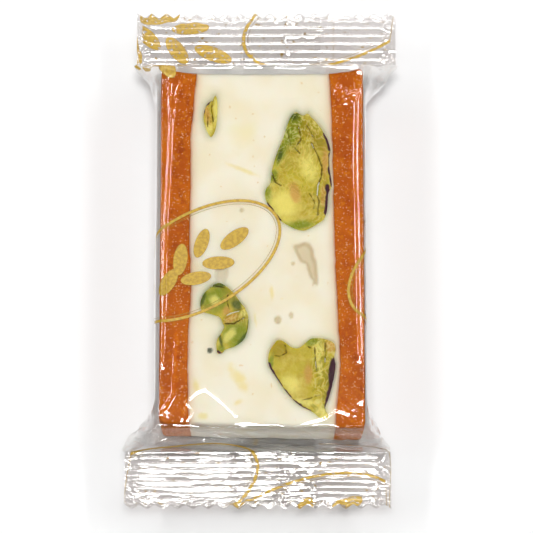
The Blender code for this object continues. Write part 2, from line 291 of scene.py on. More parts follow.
# Air pockets opened by the knife: outline about the origin, depth.
BIG_POCKET = [
    (4.55, 1.25), (5.3, 1.45), (6.0, 1.75), (6.8, 1.5), (7.3, 0.6), (7.4, -0.3),
    (7.7, -1.0), (7.85, -2.6), (7.9, -4.4), (7.55, -4.3), (7.2, -4.6), (7.3, -3.8),
    (6.9, -3.3), (6.6, -2.4), (6.3, -1.4), (5.5, -1.0), (4.9, 0.2),
]
SMALL_POCKETS = [
    {"x": 2.25, "y": -9.55, "across": (0.5, 0.58), "depth": 0.5},
    {"x": 4.15, "y": -8.9, "across": (0.28, 0.5), "depth": 0.2},
    {"x": 4.45, "y": -1.35, "across": (0.22, 0.26), "depth": 0.35},
    {"x": -2.9, "y": 6.5, "across": (0.3, 0.3), "depth": 0.3},
]
# Streaks and spots of oil that the knife drew out of the kernels: middle, half sizes and turn.
OIL = [
    (-0.95, -9.6, 0.16, 1.2, 8),
    (-3.3, -18.0, 0.9, 2.3, 35),
    (-3.4, -21.4, 0.7, 0.4, 20),
    (-8.3, -23.4, 0.8, 0.5, 0),
    (-2.7, 12.4, 2.6, 0.35, -22),
    (1.4, -5.6, 0.3, 1.4, 5),
    (4.55, -1.35, 0.16, 0.18, 0),
    (2.8, -6.5, 0.12, 0.16, 0),
    (-9.4, -19.0, 0.5, 1.2, 10),
]
# A chip of kernel skin in the nougat.
CHIP = {"x": -7.3, "y": -13.95, "across": 0.5}
KNIFE_DENT = {"x": -5.8, "y": -2.7, "across": (1.0, 1.7), "depth": 0.45}


def kernel_middle(node):
    """The middle of a kernel's box, seen from above."""
    low, high = corners(node)
    return (low[0] + high[0]) / 2, (low[1] + high[1]) / 2


def kernel_loop(node):
    """A kernel's smooth outline in its place on the slab."""
    return smooth_loop(KERNELS[node]["outline"]) + np.array(kernel_middle(node))


def seam(knots, y):
    """A seam's x at each y, with the small waviness of two soft masses pressed together."""
    knots = np.array(sorted(knots))
    line = np.interp(y, knots[:, 0], knots[:, 1])
    return line + 0.07 * noise(y, knots[0, 1] + 0 * y, 1.3, 21) + 0.03 * noise(y, 0 * y, 0.4, 22)


CORNER = 0.9


def corner_round(x):
    """How far the slab's end is drawn back at x, where its upright corners are rounded."""
    inset = np.clip(HALF_WIDTH - np.abs(x), 0, CORNER)
    return CORNER - np.sqrt(CORNER**2 - (CORNER - inset) ** 2)


def top_end(x):
    """The upper end's line: it sags in the middle, where the knife pressed."""
    sag = 1 - np.clip(np.abs(x) / HALF_WIDTH, 0, 1) ** 5
    return TOP_END - 1.05 * sag + 0.1 * layered(x, x * 0, 2.0, 31) - corner_round(x)


def bottom_end(x):
    """The lower end's line, cut a little out of square."""
    skew = 0.25 - 0.3 * x / HALF_WIDTH
    return BOTTOM_END + skew + 0.1 * layered(x, x * 0, 2.5, 32) + corner_round(x)


# ---------------------------------------------------------------- the slab


SLAB_GRAIN = 0.2
SLAB_EDGE = 0.45


def slab_strip(name, left, right, relief, edge):
    """A lengthwise strip of the slab: a fine grid for its face, drawn down into walls and closed."""
    wide_mm = float(right(np.array(0.0)) - left(np.array(0.0)))
    long_mm = TOP_END - BOTTOM_END
    columns, rows = round(wide_mm / SLAB_GRAIN), round(long_mm / SLAB_GRAIN)
    piece, *_ = new_grid(name, columns, rows)
    depths = [0.35, 0.45, 0.6] + [0.8] * 13
    bpy.ops.object.mode_set(mode="EDIT")
    bpy.ops.mesh.select_all(action="SELECT")
    bpy.ops.mesh.region_to_loop()
    for step in depths:
        bpy.ops.mesh.extrude_edges_move(TRANSFORM_OT_translate={"value": (0, 0, -step)})
    bpy.ops.mesh.edge_face_add()
    bpy.ops.mesh.select_all(action="SELECT")
    bpy.ops.mesh.normals_make_consistent(inside=False)
    bpy.ops.object.mode_set(mode="OBJECT")
    flat = points_of(piece)
    across, along, depth = (flat[:, 0] + 1) / 2, (flat[:, 1] + 1) / 2, -flat[:, 2]
    depth = depth * (FACE - BASE - edge) / sum(depths)
    y = BOTTOM_END + along * long_mm
    x = left(y) + across * (right(y) - left(y))
    low, high = bottom_end(x), top_end(x)
    y = low + along * (high - low)
    x = left(y) + across * (right(y) - left(y))
    # The rounded edge: how far in from the outline a face point lies sets how far it sinks.
    inset = np.minimum.reduce([x - left(y), right(y) - x, y - low, high - y])
    on_wall = depth > 0
    rounding = edge - np.sqrt(np.maximum(edge**2 - (edge - np.clip(inset, 0, edge)) ** 2, 0))
    z = FACE - np.where(on_wall, edge + depth, rounding)
    z = np.where(on_wall, z, z + relief(x, y) * smooth(0, edge, inset))
    # The walls swell and waver a little, and draw in towards the base's edge.
    wall = on_wall.astype(float)
    swell = 0.1 * layered(y * 0.6 + x, z, 3.0, 41)
    swell = swell - 0.25 * smooth(FACE - BASE - 1.2, FACE - BASE, depth + edge)
    side = np.sign(across - 0.5) * (np.abs(across - 0.5) > 0.499)
    end = np.sign(along - 0.5) * (np.abs(along - 0.5) > 0.499)
    x = x + wall * side * swell
    y = y + wall * end * (swell + 0.1 * layered(x, z, 1.1, 43))
    place_points(piece, x, y, z)
    return piece, x, y, on_wall


def pocket_reach(pocket, x, y):
    """How far out of a round pocket's middle each place is, as a share of the pocket's half sizes."""
    across = pocket["across"]
    return np.hypot((x - pocket["x"]) / across[0], (y - pocket["y"]) / across[1])


def nougat_relief(x, y):
    """The nougat's face: gentle waves, opened pockets and a rise round each kernel."""
    height = 0.05 * layered(x, y, 6.0, 51) + 0.015 * layered(x, y * 0.35, 0.9, 52)
    big = loop_distance(x, y, smooth_loop(BIG_POCKET, 5))
    height = height - 0.7 * smooth(0.12, -0.45, big + 0.05 * noise(x, y, 0.4, 53))
    for pocket in SMALL_POCKETS + [KNIFE_DENT]:
        height = height - pocket["depth"] * smooth(1.1, 0.45, pocket_reach(pocket, x, y))
    for node in KERNELS:
        gap = loop_distance(x, y, kernel_loop(node))
        height = height + 0.06 * bell(gap - 0.6, 0.5) - 0.5 * smooth(0.02, -0.4, gap)
    return height


def paste_relief(x, y):
    """The fruit paste's face: fine lumps of fruit and short fibres."""
    lumps = 0.04 * layered(x, y, 1.6, 61) + 0.03 * ridged(x, y, 0.7, 63)
    return lumps - 0.05 + 0.03 * noise(x, y, 0.35, 65)


def make_slab():
    nougat, x, y, on_wall = slab_strip(
        "nougat_slab",
        lambda y: seam(LEFT_SEAM, y),
        lambda y: seam(RIGHT_SEAM, y),
        nougat_relief,
        0.3,
    )
    # Painted shade round each kernel: a grey-green halo on the nougat's face, partly the kernel's green
    # seen through thin nougat.
    kernel_shade_halo = np.zeros(len(x))
    for node in KERNELS:
        gap = loop_distance(x, y, kernel_loop(node))
        strength = 0.55 + 0.45 * noise(x, y, 2.2, 71)
        kernel_shade_halo = np.maximum(kernel_shade_halo, bell(np.maximum(gap, 0), 0.65) * strength)
    face = 1 - on_wall.astype(float)
    keep_numbers(nougat, "kernel_shade", kernel_shade_halo * face)
    from_seam = np.minimum(x - seam(LEFT_SEAM, y), seam(RIGHT_SEAM, y) - x)
    keep_numbers(nougat, "bleed", bell(from_seam, 0.8))
    # Painted shade on the floors of the opened pockets and in the knife dent, kept as the pocket
    # number.
    pocket = smooth(0.15, -0.15, loop_distance(x, y, smooth_loop(BIG_POCKET, 5)))
    for place in SMALL_POCKETS:
        pocket = np.maximum(pocket, smooth(1.15, 0.8, pocket_reach(place, x, y)))
    dent = pocket_reach(KNIFE_DENT, x, y)
    keep_numbers(nougat, "pocket", np.maximum(pocket, 0.7 * smooth(1.2, 0.2, dent)) * face)
    oil = np.zeros(len(x))
    for patch in OIL:
        spread = in_patch(x, y, ("oil", *patch)) + 0.4 * layered(x, y, 0.7, 73)
        oil = np.maximum(oil, smooth(1.3, 0.3, spread))
    keep_numbers(nougat, "oil", oil * face)
    chip = np.hypot(x - CHIP["x"], y - CHIP["y"]) + 0.15 * noise(x, y, 0.4, 75)
    keep_numbers(nougat, "chip", smooth(CHIP["across"], CHIP["across"] * 0.6, chip) * face)
    finish_piece(nougat, nougat_material(), "nougat", "nougat")
    paste = paste_material()
    half = HALF_WIDTH
    for node, left, right in (
        ("fruit_paste_left", lambda y: 0 * y - half, lambda y: seam(LEFT_SEAM, y) + 0.05),
        ("fruit_paste_right", lambda y: seam(RIGHT_SEAM, y) - 0.05, lambda y: 0 * y + half),
    ):
        strip, *_ = slab_strip(node + "_strip", left, right, paste_relief, SLAB_EDGE)
        finish_piece(strip, paste, "fruit_paste", node)


# ---------------------------------------------------------------- the kernels

# Patches of colour on each kernel's cut face: the number that each adds to, then its middle, its
# half sizes and its turn in degrees.
PATCHES = {
    "pistachio_large": [
        ("deep", -0.3, 8.1, 0.9, 0.6, -20),
        ("green", -0.2, 7.6, 1.4, 1.1, 0),
        # These two patches are painted shade: a dark hollow in the cut face and the grey-green shadow
        # beside it.
        ("green", -2.1, 2.9, 0.8, 2.2, -22),
        ("deep", -2.3, 2.4, 0.4, 1.2, -15),
        ("green", -1.4, 5.6, 0.6, 1.4, -20),
        ("green", -3.3, -0.8, 0.7, 1.0, 0),
        ("green", -4.1, -3.4, 0.55, 1.5, 8),
        ("green", 0.4, -8.1, 2.8, 0.8, 4),
        ("green", -3.0, -6.9, 0.4, 1.6, 35),
        ("green", -0.9, 5.2, 1.2, 2.2, -20),
        ("olive", 0.8, 6.6, 1.6, 1.9, 0),
        ("pale", -1.6, -5.0, 2.2, 2.7, 15),
        ("pale", 1.8, 0.4, 1.3, 2.4, 10),
        ("blush", -0.2, -3.3, 0.8, 1.6, 12),
        ("blush", 4.1, 1.0, 0.45, 2.6, 0),
        ("blush", 3.9, -3.6, 0.4, 1.8, 0),
        ("olive", 3.2, 4.4, 0.9, 1.6, 20),
    ],
    "pistachio_heart": [
        ("olive", -3.1, 3.7, 1.6, 1.6, 0),
        ("green", -4.1, 1.5, 0.35, 1.4, -12),
        ("green", 1.8, 4.6, 1.1, 0.6, 10),
        ("pale", 2.7, 3.4, 0.8, 1.1, 10),
        ("pale", 2.8, 1.2, 0.4, 1.9, 4),
        ("pale", -1.2, -1.6, 1.2, 1.8, 30),
        ("blush", 4.4, 3.9, 0.8, 0.9, 0),
        ("blush", 1.2, 0.0, 0.6, 1.6, 0),
        ("pale", 0.9, -4.1, 2.0, 0.5, -12),
        ("pale", 3.1, -5.6, 1.0, 1.1, 30),
    ],
    "pistachio_sliver": [
        ("pale", 0.75, 0.9, 0.4, 2.0, 0),
        ("blush", -0.5, 0.2, 0.5, 1.6, 10),
        ("olive", 0.2, 0.5, 0.12, 2.0, 5),
        ("pale", -0.2, -1.8, 0.5, 0.9, 0),
    ],
    "pistachio_upper_half": [
        ("green", -0.8, -0.1, 2.2, 2.0, 30),
        ("pale", -0.8, -0.3, 0.8, 0.9, 20),
        ("deep", 2.3, -0.9, 1.15, 0.75, -50),
        ("deep", -2.6, -0.5, 0.35, 1.7, -20),
        ("deep", -0.2, 2.0, 1.9, 0.4, 2),
        ("blush", 0.9, -1.8, 0.55, 0.8, -15),
        ("olive", 0.8, 1.1, 1.2, 0.5, -35),
    ],
    "pistachio_lower_half": [
        ("green", 0.3, -0.3, 2.2, 2.1, -35),
        ("deep", 1.7, -0.6, 0.4, 1.9, -42),
        ("deep", 2.2, 1.0, 0.3, 1.3, 0),
        ("deep", -1.9, -1.2, 0.25, 1.4, 12),
        ("blush", -0.4, 2.0, 1.2, 0.75, 25),
        ("pale", 1.5, 2.8, 0.9, 0.6, 30),
        ("pale", -0.6, -0.5, 0.6, 1.3, -35),
        ("green", -1.8, -2.4, 0.6, 0.7, 0),
        ("blush", -1.7, -3.1, 0.6, 0.3, 0),
    ],
}
# Slivers of skin along each kernel's edge: a line and the skin's half width.
SKINS = {
    "pistachio_large": [
        ([(3.2, 7.2), (3.8, 6.4), (4.3, 5.5)], 0.1),
        ([(4.15, 5.6), (4.5, 4.6), (4.9, 3.2)], 0.34),
        ([(4.85, 2.5), (4.7, 0.3), (5.1, -2.2)], 0.19),
        ([(4.4, -2.3), (4.6, -3.5), (4.45, -5.0), (4.2, -6.2)], 0.36),
        ([(-1.6, 6.3), (-2.8, 3.0), (-3.7, 0.2)], 0.12),
        ([(-4.2, -4.9), (-2.3, -7.3)], 0.16),
    ],
    "pistachio_heart": [
        ([(4.95, 1.9), (4.5, 0.4), (4.6, -1.5), (4.3, -3.0), (3.9, -4.8)], 0.55),
        ([(-4.45, 1.3), (-3.8, 0.0), (-2.6, -1.8)], 0.28),
        ([(-1.0, -3.9), (0.3, -4.9), (1.3, -5.4)], 0.34),
        ([(-2.5, -2.0), (-1.4, -3.4)], 0.2),
    ],
    "pistachio_sliver": [
        ([(-0.1, 2.3), (-0.9, 1.4), (-1.15, 0.2)], 0.17),
        ([(-1.15, 0.0), (-0.8, -1.6)], 0.08),
    ],
    "pistachio_upper_half": [([(-1.8, 2.4), (-0.9, 2.9), (-0.1, 2.9)], 0.15)],
    "pistachio_lower_half": [([(-2.3, -2.8), (-1.7, -3.3)], 0.15)],
}
# Cracks across each kernel's cut face: a line and its half width.
CRACKS = {
    "pistachio_large": [
        ([(2.2, 4.1), (2.7, 3.1), (3.2, 2.0), (3.7, 0.5), (3.6, -0.9), (3.1, -2.1)], 0.17),
        ([(3.1, -2.1), (3.0, -3.6), (3.3, -4.6), (3.1, -5.4), (3.1, -6.5)], 0.17),
        ([(0.3, 6.8), (0.7, 4.6), (-0.2, 3.4), (0.5, 2.6)], 0.13),
        ([(-1.3, 6.0), (-0.8, 3.8)], 0.12),
        ([(1.5, 6.8), (2.5, 5.0)], 0.12),
        ([(-3.6, -0.2), (-3.0, -1.7), (-2.2, -2.2)], 0.13),
        ([(1.9, -3.4), (2.6, -4.6), (2.5, -5.6)], 0.12),
    ],
    "pistachio_heart": [
        ([(2.1, 3.8), (2.2, 1.9), (2.4, 0.4)], 0.1),
        ([(3.6, 4.5), (3.6, 1.6)], 0.12),
        ([(-2.1, 4.1), (-1.9, 3.0), (-2.8, 2.5), (-3.9, 2.6)], 0.1),
        ([(0.3, -3.8), (1.6, -3.5), (2.9, -3.1)], 0.1),
        ([(1.2, 3.9), (1.5, 3.7)], 0.16),
    ],
    "pistachio_sliver": [
        ([(0.3, 2.4), (0.1, 1.0), (0.4, -0.8)], 0.09),
        ([(-0.4, 0.4), (-0.4, -1.6)], 0.06),
    ],
    "pistachio_upper_half": [
        ([(1.1, 0.5), (1.0, -0.6), (1.3, -1.5)], 0.1),
        ([(-2.7, 0.7), (-1.0, 1.9), (0.9, 1.5)], 0.08),
    ],
    "pistachio_lower_half": [([(-1.3, 1.2), (0.0, 1.2), (1.4, 2.1), (2.2, 1.9)], 0.13)],
}


def in_patch(x, y, patch):
    _, px, py, half_wide, half_high, turn = patch
    c, s = math.cos(math.radians(turn)), math.sin(math.radians(turn))
    dx, dy = x - px, y - py
    return np.hypot((dx * c + dy * s) / half_wide, (dy * c - dx * s) / half_high)


def kernel_roughness(node, x, y):
    """How torn a kernel's cut face is: rough where it broke, smoother where the knife passed."""
    if node == "pistachio_large":
        lobe = np.hypot((x + 1.6) / 2.6, (y + 5.6) / 2.6)
        right = 0.3 * smooth(1.5, 3.5, x) * smooth(0.0, -3.0, y)
        return 0.35 + 0.75 * smooth(2.0, 6.0, y) - 0.3 * smooth(1.2, 0.7, lobe) + right
    if node == "pistachio_heart":
        return 0.12 + 0.8 * smooth(1.2, 2.4, x) + 0.3 * smooth(-3.6, -4.4, y)
    if node == "pistachio_sliver":
        return 0.4 + 0 * x
    return 0.12 + 0.7 * smooth(1.0, 2.0, y) * (node == "pistachio_lower_half")


def make_kernel(node, material, seed):
    """A kernel: a ball drawn out to the outline, torn and cut on its upper side, round below."""
    spec = KERNELS[node]
    segments, rings = spec["mesh"]
    deselect()
    bpy.ops.mesh.primitive_uv_sphere_add(segments=segments, ring_count=rings, radius=1)
    piece = name_piece(node + "_kernel")
    ball = points_of(piece)
    turn = np.arctan2(ball[:, 1], ball[:, 0]) % math.tau
    loop = smooth_loop(spec["outline"], 12)
    loop_turn = np.arctan2(loop[:, 1], loop[:, 0]) % math.tau
    order = np.argsort(loop_turn)
    reach = np.interp(turn, loop_turn[order], np.hypot(loop[:, 0], loop[:, 1])[order], period=math.tau)
    # Rings lie evenly across the cut face, and the last few turn down over the kernel's shoulder.
    fall = np.arccos(np.clip(ball[:, 2], -1, 1)) / math.pi
    upper = fall <= 0.7
    out = np.where(upper, fall / 0.7, np.sin(np.clip((1 - fall) / 0.3, 0, 1) * math.pi / 2) ** 0.7)
    x, y = reach * out * np.cos(turn), reach * out * np.sin(turn)
    edge = -loop_distance(x, y, loop)
    warp_x = x + 0.6 * noise(x, y, 1.2, seed + 1)
    warp_y = y + 0.6 * noise(x, y, 1.3, seed + 2)
    fibres = ridged(warp_x, warp_y * 0.45, 0.9, seed) - 0.55
    torn = ridged(warp_x, warp_y * 0.7, 0.42, seed + 3) - 0.5
    rough = kernel_roughness(node, x, y)
    relief = (0.9 * fibres + 0.5 * torn) * rough
    flakes = 0.3 * relief * smooth(0.0, 0.6, edge) + 0.1 * layered(x, y, 2.5, seed + 5)
    cracks = np.zeros(len(x))
    for line, half_width in CRACKS[node]:
        gap = line_distance(x, y, line) + 0.06 * noise(x, y, 0.35, seed + 7)
        cracks = np.maximum(cracks, smooth(half_width, 0.0, gap))
    shoulder = 0.35 * smooth(0.5, 0.0, edge) ** 2
    face_z = FACE - 0.1 + flakes - 0.3 * cracks - shoulder
    under = FACE - 0.45 - spec["depth"] * np.sin(np.clip((fall - 0.7) / 0.3, 0, 1) * math.pi / 2)
    z = np.where(upper, np.minimum(face_z, FACE + 0.12), under)
    numbers = {name: np.zeros(len(x)) for name in ("green", "olive", "pale", "blush", "deep")}
    for patch in PATCHES[node]:
        spread = in_patch(x, y, patch) + 0.3 * layered(x, y, 0.8, seed + 9)
        numbers[patch[0]] = np.maximum(numbers[patch[0]], smooth(1.35, 0.4, spread))
    skin = smooth(0.16, 0.0, edge) * 0.35
    for line, half_width in SKINS[node]:
        gap = line_distance(x, y, line) + 0.1 * noise(x, y, 0.5, seed + 11)
        skin = np.maximum(skin, smooth(half_width * 1.15, half_width * 0.65, gap))
    numbers["skin"] = np.where(upper, skin, 1)
    # Painted highlight paler on the torn crests, painted shade darker in the hollows and in the cracks.
    numbers["crest_highlight"] = smooth(0.16, 0.42, torn) * np.clip(rough, 0, 1)
    numbers["hollow"] = smooth(-0.1, -0.5, torn + 0.5 * fibres) * np.clip(rough, 0, 1)
    numbers["crack_shade"] = cracks
    middle_x, middle_y = kernel_middle(node)
    place_points(piece, x + middle_x, y + middle_y, z)
    for name, values in numbers.items():
        keep_numbers(piece, name, values)
    finish_piece(piece, material, "pistachio", node)


def make_end_kernel(material):
    """The kernel whose edge shows where the slab's lower end cuts through it."""
    low, high = corners("pistachio_end")
    middle = (low + high) / 2
    deselect()
    bpy.ops.mesh.primitive_uv_sphere_add(segments=96, ring_count=48, radius=1)
    piece = name_piece("pistachio_end_kernel")
    ball = points_of(piece)
    x = middle[0] + ball[:, 0] * (high[0] - low[0]) / 2
    y = high[1] - (high[1] - low[1]) * 0.5 * (1 - ball[:, 1] * 1.0)
    z = FACE - 0.05 - (high[2] - low[2]) * 0.5 * (1 - ball[:, 2])
    rough = 0.12 * layered(x * 1.3, z * 1.3 + y, 0.8, 91)
    place_points(piece, x + rough, np.maximum(y, low[1] + rough), z + 0.06 * noise(x, y, 0.5, 93))
    for name in ("green", "pale", "blush", "deep", "crack_shade", "crest_highlight", "hollow"):
        keep_numbers(piece, name, 0 * x)
    keep_numbers(piece, "olive", smooth(-0.4, 0.6, noise(x, z, 1.0, 95)))
    keep_numbers(piece, "skin", smooth(0.1, -0.5, ball[:, 2]) * 0.5)
    finish_piece(piece, material, "pistachio", "pistachio_end")


# ---------------------------------------------------------------- the film

FILM_TOP = FACE + 0.14
FILM_BOTTOM = 0.12
# How far out the film's sides stand over the slab, and how wide it lies in the flat seals.
SIDE_LEFT = HALF_WIDTH + 0.95
SIDE_RIGHT = HALF_WIDTH + 0.5
SEAL_HALF = (PACK_HIGH[0] - PACK_LOW[0]) / 2 - 0.3
SEAL_TOP = 29.9
SEAL_BOTTOM = -27.5
SEAL_GAP = 0.06
HEM = 0.85
EAR = 4.6
TOOTH_PITCH = 2.18
TOOTH_DEPTH = 0.75
SEAL_SHIFT = 0.2 - ORIGIN[0]
# The back seam's flap: its two edges, and where its double layer is welded.
FLAP_LEFT = -3.4
FLAP_RIGHT = 8.0
WELD = (2.9, 8.0)

# Creases in the film over the face: a line of (x, y) points, half width and height.
CREASES = [
    ([(-5.0, 20.8), (-1.0, 22.4), (2.1, 23.1), (5.4, 23.5), (9.0, 23.9), (12.0, 23.8)], 0.24, 0.035),
    ([(12.0, 23.8), (13.4, 25.0), (14.6, 26.3)], 0.3, 0.08),
    ([(11.0, 24.3), (12.1, 23.0), (13.1, 23.6)], 1.0, 0.3),
    ([(0.6, 20.6), (1.7, 21.8), (2.9, 21.3)], 0.2, 0.03),
    ([(-11.1, -23.9), (-10.8, -22.4), (-10.6, -21.2), (-9.4, -20.0), (-8.1, -19.5)], 0.26, 0.06),
    ([(-8.1, -19.5), (-6.9, -20.3), (-3.4, -23.3)], 0.26, 0.05),
    ([(-10.7, -21.4), (-9.6, -22.5), (-10.3, -23.9)], 0.24, 0.05),
    (
        [(-13.5, 25.6), (-13.1, 20.0), (-13.3, 14.0), (-13.8, 4.0), (-13.9, -6.0), (-14.2, -16.0)],
        0.55,
        0.16,
    ),
    ([(-12.0, 25.2), (-12.6, 22.5), (-13.0, 20.0)], 0.5, 0.14),
    ([(-14.0, 24.2), (-12.2, 22.4), (-10.9, 24.0)], 0.3, 0.08),
    ([(14.4, 25.9), (13.6, 23.0), (13.4, 14.0), (13.6, 4.0), (13.7, -5.0), (13.9, -15.0)], 0.55, 0.16),
    ([(10.5, -22.4), (13.0, -23.2), (14.8, -23.4)], 0.3, 0.08),
    ([(5.6, -24.6), (9.0, -23.6), (11.6, -21.6)], 0.3, 0.07),
    ([(-14.2, -23.0), (-12.6, -20.2), (-12.2, -12.0)], 0.5, 0.13),
]


def film_rows():
    """The places along Y of the film's rows, closer together where it folds and ridges."""
    stops = [
        (PACK_LOW[1], SEAL_BOTTOM, 0.085),
        (SEAL_BOTTOM, BOTTOM_END, 0.1),
        (BOTTOM_END, BOTTOM_END + 5.5, 0.2),
        (BOTTOM_END + 5.5, TOP_END - 7.0, 0.5),
        (TOP_END - 7.0, TOP_END, 0.2),
        (TOP_END, SEAL_TOP, 0.1),
        (SEAL_TOP, PACK_HIGH[1], 0.085),
    ]
    rows = []
    for low, high, pitch in stops:
        rows.append(np.linspace(low, high, round((high - low) / pitch), endpoint=False))
    return np.concatenate(rows + [[PACK_HIGH[1]]])


class Stretch:
    """Shares along Y that tell the film's body, ears, slopes and flat seals apart."""

    def __init__(self, y):
        self.out = np.abs(y)
        self.end = np.where(y > 0, TOP_END, -BOTTOM_END)
        self.seal = np.where(y > 0, SEAL_TOP, -SEAL_BOTTOM)
        self.tip = np.where(y > 0, PACK_HIGH[1], -PACK_LOW[1])
        self.ear = smooth(self.end - EAR, self.seal + 0.2, self.out)
        slope = (self.out - self.end - 0.15) / (self.seal - self.end - 0.15)
        self.flat = np.clip(slope, 0, 1) ** 0.92
        self.sealed = smooth(self.seal - 0.25, self.seal + 0.15, self.out)
        self.sloping = smooth(self.end - 0.3, self.end + 0.6, self.out) * (1 - self.sealed)
        self.body = 1 - smooth(self.end - 0.8, self.end, self.out)
        self.crumpled = smooth(self.end - 4.2, self.end - 0.8, self.out) * (1 - self.sealed)


def sheet_place(part, share, side, y, upward):
    """Where a sheet's column runs: x and z at each y.

    The column is a share of the way over the flat panel, or down the side to its outermost line.
    """
    at = Stretch(y)
    reach = SIDE_RIGHT if side > 0 else SIDE_LEFT
    level = (FILM_TOP - MIDDLE) if upward > 0 else (MIDDLE - FILM_BOTTOM)
    height = level + (SEAL_GAP / 2 - level) * at.flat
    corner = HALF_WIDTH - 0.15
    panel = corner + (SEAL_HALF - HEM - corner) * at.flat**0.8
    apex = reach + (SEAL_HALF - reach) * at.ear
    if part == "panel":
        return side * panel * share, MIDDLE + upward * height
    rise = 1 - share
    box = np.minimum(1.0, share / 0.1) ** 0.5 * (0.6 + 0.4 * np.sin(share * math.pi / 2))
    fold = 1 - rise**1.05
    bulge = box + (fold - box) * at.ear
    level = MIDDLE + upward * height * rise ** (1 - 0.1 * at.ear)
    return side * (panel + (apex - panel) * bulge), level


def jaw_ridges(x, y, at):
    """The sealing jaws' ridges: round-topped bars between flat strips, a little broken and uneven."""
    pitch = np.where(y > 0, 1.22, 0.86)
    width = np.where(y > 0, 0.42, 0.34)
    along = (at.out - at.seal - 0.3) + 0.07 * noise(x, y * 0.2, 4.0, 111)
    phase = np.abs((along / pitch) % 1 - 0.5) * pitch
    bar = 0.5 + 0.5 * np.cos(np.clip(phase / (width / 2), 0, 1) * math.pi)
    strength = 0.8 + 0.4 * noise(x, y, 2.6, 113) + 0.15 * noise(x, y, 0.8, 115)
    fine = 0.012 * noise(x * 0.25, y, 0.25, 117)
    return np.where(y > 0, 0.09, 0.065) * bar * np.clip(strength, 0.2, 1.3) + fine


def seal_relief(x, y, at):
    """What stands out of the flat seals: ridges, tucked corners and the welded back flap."""
    edge = SEAL_HALF - 2.0 + 0.12 * noise(y, x * 0, 1.2, 121)
    tuck = smooth(edge, edge + 0.25, np.abs(x))
    weld = smooth(WELD[0] - 0.2, WELD[0] + 0.1, x) * smooth(WELD[1] + 0.2, WELD[1] - 0.1, x)
    lines = sum(bell(x - line, 0.22) for line in (FLAP_LEFT, WELD[0], WELD[0] + 1.0, WELD[1]))
    knurl = noise(x, y * 0.8, 0.42, 123)
    ragged = 0.06 * tuck + 0.2 * facets(x, y, 0.7, 125) * tuck
    welded = (0.02 + 0.045 * knurl) * weld + 0.07 * lines * (0.6 + 0.8 * knurl)
    broad = 0.3 * noise(x * 0.5, y * 0.3, 9.0, 127) + 0.05 * facets(x * 0.35, y, 1.6, 129)
    return jaw_ridges(x, y, at) * (1 - 0.4 * tuck) + ragged + welded + broad


def cut_zigzag(x, y, at):
    """Draws the film's last rows back between the teeth of the knife, and turns the teeth's tips."""
    tooth = np.abs(((x / TOOTH_PITCH + 0.25 * np.sign(y)) % 1) - 0.5) * 2
    near = smooth(at.tip - 2.0, at.tip, at.out)
    lift = 0.22 * smooth(at.tip - 0.7, at.tip, at.out) * noise(x, y * 0, 1.1, 131)
    lift = lift + 0.06 * bell(at.tip - at.out - 0.25, 0.16)
    return y - np.sign(y) * near * TOOTH_DEPTH * tooth, lift


def make_sheet(name, upward, panel_columns, side_columns, material):
    """One of the film's two sheets, from its outermost line on the left to that on the right."""
    half = [("panel", step / panel_columns) for step in range(panel_columns + 1)]
    half += [("side", (step + 1) / side_columns) for step in range(side_columns)]
    columns = [(part, share, -1) for part, share in half[:0:-1]]
    columns += [(part, share, 1) for part, share in half]
    rows = film_rows()
    piece, column, row = new_grid(name, len(columns) - 1, len(rows) - 1)
    places = [sheet_place(part, share, side, rows, upward) for part, share, side in columns]
    x = np.array([place[0] for place in places])
    z = np.array([place[1] for place in places])
    y = np.tile(rows, (len(columns), 1))
    web = web_places(x, z, rows, upward)
    at = Stretch(y)
    side = np.array([share if part == "side" else 0.0 for part, share, _ in columns])[:, None] + 0 * y
    turn = np.sin(side * math.pi / 2)
    sign = np.sign(x) + (x == 0)
    flat_part = np.cos(side * math.pi / 2) ** 2
    # Slack and creases over the slab.
    folds = 0.05 * layered(x, y * 0.6, 6.0, 141)
    if upward > 0:
        for line, half_width, rise in CREASES:
            share = np.clip(line_distance(x, y, line) / half_width, 0, 1)
            folds = folds + rise * (0.5 + 0.5 * np.cos(share * math.pi))
    z = z + upward * folds * at.body * flat_part * (side == 0)
    slack = 0.16 * layered(y * 0.3 + sign * 40, z * 0.8, 2.6, 143)
    slack = slack + 0.05 * facets(y * 0.5, z + sign * 9, 2.0, 144)
    x = x + sign * slack * turn * (1 - at.ear)
    # Crumples in the ears, and stretched folds down the sloping ends.
    corner = smooth(HALF_WIDTH - 2.6, HALF_WIDTH + 0.4, np.abs(x))
    crumple = 1.3 * facets(x + 0.6 * z, y - 0.3 * z, 2.0, 145) + 0.4 * facets(x, y + z, 0.9, 147)
    z = z + crumple * 0.75 * at.crumpled * corner * np.where(side > 0, 1 - turn * 0.6, 0.45)
    x = x + crumple * 0.5 * at.crumpled * turn * sign
    fold = 0.75 * facets(x * 0.22 + 0.12 * y, y + 0.05 * x, 0.9, 151)
    fold = fold + 0.2 * noise(x * 0.4, y, 0.6, 153)
    z = z + upward * fold * at.sloping * (0.4 + 0.6 * flat_part)
    if upward > 0:
        over_slab = (np.abs(x) < HALF_WIDTH) & (at.out < at.end)
        z = np.where(over_slab, np.maximum(z, FACE + 0.06), z)
    z = z + seal_relief(x, y, at) * at.sealed
    tooth_y, lift = cut_zigzag(x, y, at)
    x = x + SEAL_SHIFT * at.ear * np.sign(y)
    place_points(piece, x[column, row], tooth_y[column, row], (z + lift)[column, row])
    set_web(piece, web[0][column, row], web[1][column, row])
    keep_numbers(piece, "sealed", at.sealed[column, row])
    keep_numbers(piece, "loose", np.maximum(at.crumpled * corner, at.sloping)[column, row])
    finish_piece(piece, material, "clear_film", "wrapper")


# The flat web's square that the texture places cover, and where the face's middle lies in it.
WEB_UNIT = 100
WEB_SHIFT = 50


